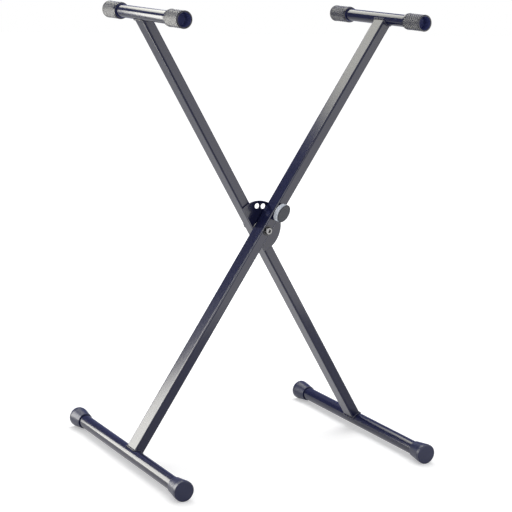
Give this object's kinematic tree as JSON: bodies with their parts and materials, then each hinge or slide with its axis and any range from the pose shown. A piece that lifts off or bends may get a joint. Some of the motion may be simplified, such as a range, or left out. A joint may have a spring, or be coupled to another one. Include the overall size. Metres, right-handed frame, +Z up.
{
  "type": "x-style keyboard stand",
  "caption": "Folding X-style keyboard stand with crossed steel legs, round lock plate, spring pull pin, knurled grip sleeves and flared rubber feet.",
  "frame": {"origin": "on the floor, straight below the pivot, at the centre of the four feet", "axes": "+Z up, +X across the spread of the legs, +Y along the cross bars away from the pull knob"},
  "size_m": [0.5774, 0.484, 0.8763],
  "materials": {
    "black_paint": "semi-gloss black powder coat",
    "grip_rubber": "knurled matt rubber",
    "foot_rubber": "smooth satin rubber",
    "knob_plastic": "satin moulded plastic",
    "black_zinc": "black zinc plate",
    "plain_steel": "plain turned steel",
    "nylon": "matt nylon"
  },
  "bodies": {
    "rear_frame": {"rear_leg": "black_paint", "rear_top_bar": "black_paint", "rear_foot_bar": "black_paint", "rear_pivot_bush": "plain_steel", "rear_grip_cap_near": "grip_rubber", "rear_foot_cap_near": "foot_rubber", "rear_grip_cap_far": "grip_rubber", "rear_foot_cap_far": "foot_rubber", "lock_plate": "black_paint", "pivot_bolt": "black_zinc", "pivot_bolt_washer": "black_zinc", "pivot_nut_washer": "black_zinc", "pivot_nut": "black_zinc", "friction_washer": "nylon"},
    "front_frame": {"front_leg": "black_paint", "front_top_bar": "black_paint", "front_foot_bar": "black_paint", "front_pivot_bush": "plain_steel", "front_grip_cap_near": "grip_rubber", "front_foot_cap_near": "foot_rubber", "front_grip_cap_far": "grip_rubber", "front_foot_cap_far": "foot_rubber", "pin_housing": "black_zinc"},
    "pull_pin": {"lock_pin": "plain_steel", "pull_knob": "knob_plastic", "pin_spring": "plain_steel"}
  },
  "joints": [
    {"name": "fold", "type": "hinge", "parent": "rear_frame", "child": "front_frame", "pos_m": [0, 0, 0.44844], "axis": [0, 1, 0], "range_deg": [-59.4, 37]},
    {"name": "pin_pull", "type": "slide", "parent": "front_frame", "child": "pull_pin", "axis": [0, -1, 0], "range_m": [0, 0.008], "stiffness_N_per_m": 800, "springref_m": -0.01, "deforming": ["pin_spring"]}
  ]
}
